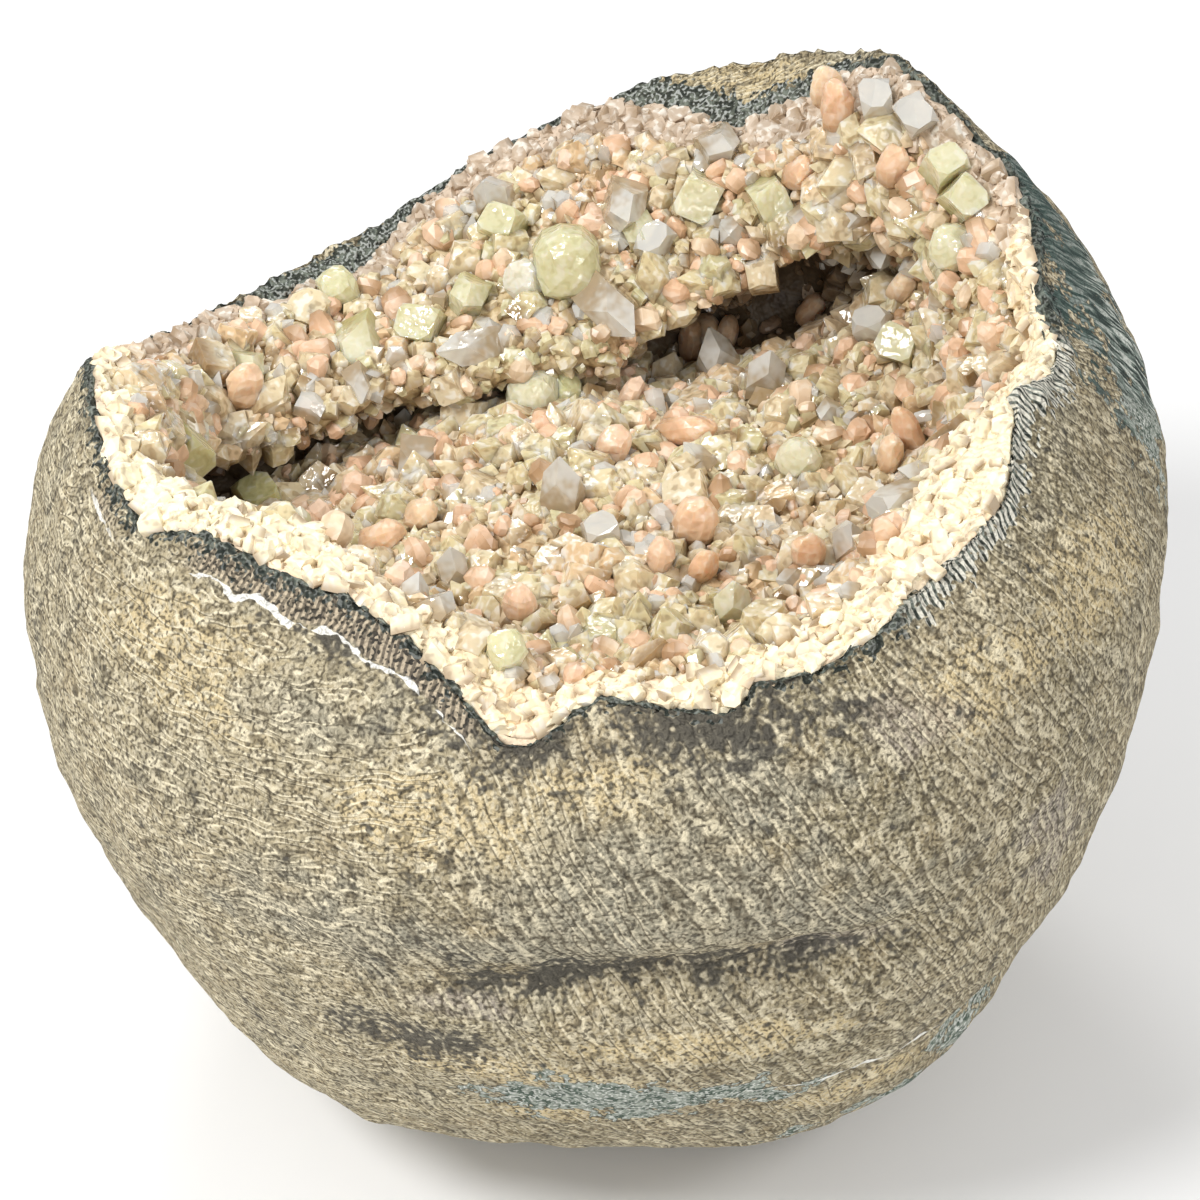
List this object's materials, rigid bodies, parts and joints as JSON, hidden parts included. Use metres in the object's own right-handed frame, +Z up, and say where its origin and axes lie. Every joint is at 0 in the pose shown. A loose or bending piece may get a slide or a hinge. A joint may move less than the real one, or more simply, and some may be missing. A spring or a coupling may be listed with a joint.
{
  "type": "crystal-lined geode",
  "caption": "Rounded basalt nodule broken open at the top, its hollow lined with a crust of pale green blocky crystals, peach blades and small clear points.",
  "frame": {"origin": "middle of the footprint's box, on the surface that the nodule rests on", "axes": "+Z up, -Y towards the front, the low side of the mouth; +X to the right seen from the front"},
  "size_m": [0.3529, 0.3506, 0.2883],
  "materials": {
    "basalt": "weathered grey-brown basalt with fine wavy ridges, rough and dull",
    "crystals": "cream druse with glassy pale green blocks and peach blades, bright and sparkling"
  },
  "bodies": {
    "root": {"rock_shell": "basalt", "crystal_crust": "crystals"}
  },
  "joints": []
}
